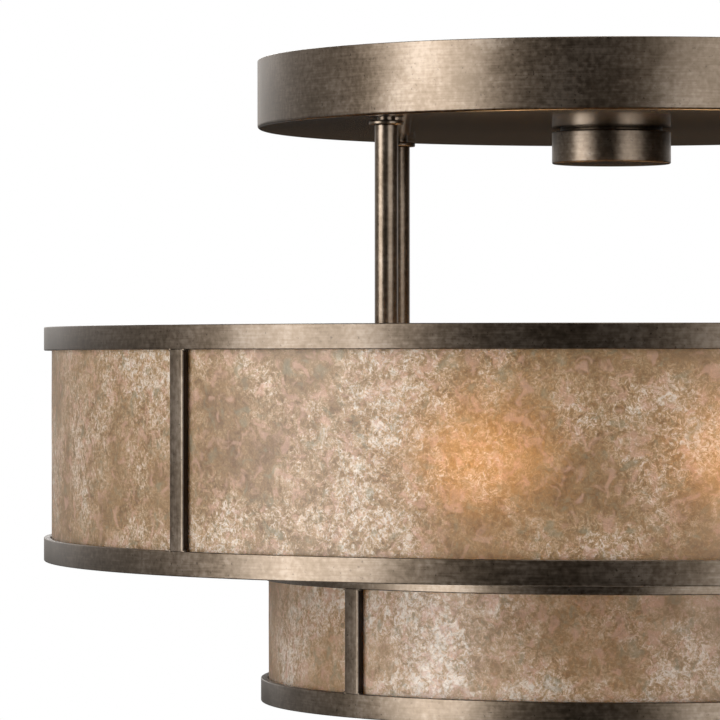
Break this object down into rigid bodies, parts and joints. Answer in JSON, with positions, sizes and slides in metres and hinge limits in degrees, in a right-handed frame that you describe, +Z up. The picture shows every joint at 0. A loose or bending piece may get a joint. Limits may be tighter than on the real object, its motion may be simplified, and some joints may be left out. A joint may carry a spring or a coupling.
{
  "type": "semi flush ceiling light",
  "caption": "Round semi flush ceiling light: a stepped pair of mica drums in bronze rings, hung on rods from a flat round canopy, with level lamps inside and a canopy knob.",
  "frame": {"origin": "on the ceiling plane, at the centre of the outlet box: the middle of the mounting bracket's top face", "axes": "+Z up, along the light's axis. -Y is the side that faces the room in the picture: the middle of a panel faces it, and the upright bars stand at 45 degrees to X and Y. +X is to the right seen from there"},
  "size_m": [0.7109, 0.711, 0.4005],
  "materials": {
    "antique_bronze": "brushed, dark antique bronze patina",
    "dark_bronze": "satin dark bronze",
    "mica": "pressed mica sheet, matt",
    "zinc_steel": "zinc plated",
    "brass": "plain",
    "porcelain": "glazed",
    "frosted_glass": "frosted",
    "orange_plastic": "moulded",
    "black_plastic": "moulded",
    "white_plastic": "extruded",
    "green_plastic": "extruded",
    "green_steel": "green dyed zinc",
    "black_rubber": "moulded"
  },
  "bodies": {
    "root": {"canopy_pan": "antique_bronze", "rod_collars": "antique_bronze", "upper_top_ring": "antique_bronze", "upper_bottom_ring": "antique_bronze", "upper_bars": "antique_bronze", "tier_top_ring": "antique_bronze", "tier_bottom_ring": "antique_bronze", "tier_bars": "antique_bronze", "hanger_rod_1": "antique_bronze", "hanger_rod_2": "antique_bronze", "hanger_rod_3": "antique_bronze", "hanger_rod_4": "antique_bronze", "spider_hub": "dark_bronze", "step_plate": "dark_bronze", "diffuser_ledge": "dark_bronze", "spider_arm_1": "dark_bronze", "spider_arm_2": "dark_bronze", "spider_arm_3": "dark_bronze", "spider_arm_4": "dark_bronze", "upper_panel_right": "mica", "upper_panel_back": "mica", "upper_panel_left": "mica", "upper_panel_front": "mica", "tier_panel_right": "mica", "tier_panel_back": "mica", "tier_panel_left": "mica", "tier_panel_front": "mica", "mounting_bracket": "zinc_steel", "centre_nipple": "zinc_steel", "rod_washers": "zinc_steel", "thread_nuts": "zinc_steel", "hub_screws": "zinc_steel", "upper_panel_clips": "zinc_steel", "tier_panel_clips": "zinc_steel", "tier_screws": "zinc_steel", "cluster_stem": "brass", "cluster_body": "brass", "cluster_cover": "brass", "lamp_holder_1": "porcelain", "lamp_holder_2": "porcelain", "lamp_holder_3": "porcelain", "lamp_holder_4": "porcelain", "wire_nuts": "orange_plastic", "lead_ties": "black_plastic", "live_lead": "black_plastic", "neutral_lead": "white_plastic", "earth_lead": "green_plastic", "ground_screw": "green_steel", "cover_grommet": "black_rubber"},
    "knob_washer": {"knob_washer": "dark_bronze"},
    "canopy_knob": {"canopy_knob": "antique_bronze"},
    "bottom_diffuser": {"bottom_diffuser": "mica"},
    "lamp_1": {"lamp_cap_1": "brass", "lamp_glass_1": "frosted_glass"},
    "lamp_2": {"lamp_cap_2": "brass", "lamp_glass_2": "frosted_glass"},
    "lamp_3": {"lamp_cap_3": "brass", "lamp_glass_3": "frosted_glass"},
    "lamp_4": {"lamp_cap_4": "brass", "lamp_glass_4": "frosted_glass"}
  },
  "joints": [
    {"name": "knob_drop", "type": "slide", "parent": "root", "child": "knob_washer", "axis": [0, 0, -1], "range_m": [0, 0.0125]},
    {"name": "knob_turn", "type": "hinge", "parent": "knob_washer", "child": "canopy_knob", "pos_m": [0, 0, -0.0543], "axis": [0, 0, -1], "range_deg": [0, 4680]},
    {"name": "lamp_1_out", "type": "slide", "parent": "root", "child": "lamp_1", "axis": [0.6934, 0.7206, 0], "range_m": [0, 0.026]},
    {"name": "lamp_2_out", "type": "slide", "parent": "root", "child": "lamp_2", "axis": [-0.7206, 0.6934, 0], "range_m": [0, 0.026]},
    {"name": "lamp_3_out", "type": "slide", "parent": "root", "child": "lamp_3", "axis": [-0.6934, -0.7206, 0], "range_m": [0, 0.026]},
    {"name": "lamp_4_out", "type": "slide", "parent": "root", "child": "lamp_4", "axis": [0.7206, -0.6934, 0], "range_m": [0, 0.026]},
    {"name": "diffuser_lift", "type": "slide", "parent": "root", "child": "bottom_diffuser", "axis": [0, 0, 1], "range_m": [0, 0.075]}
  ],
  "couplings": [
    {"joint": "knob_drop", "follows": "knob_turn", "m_per_rad": 0.00014972}
  ]
}
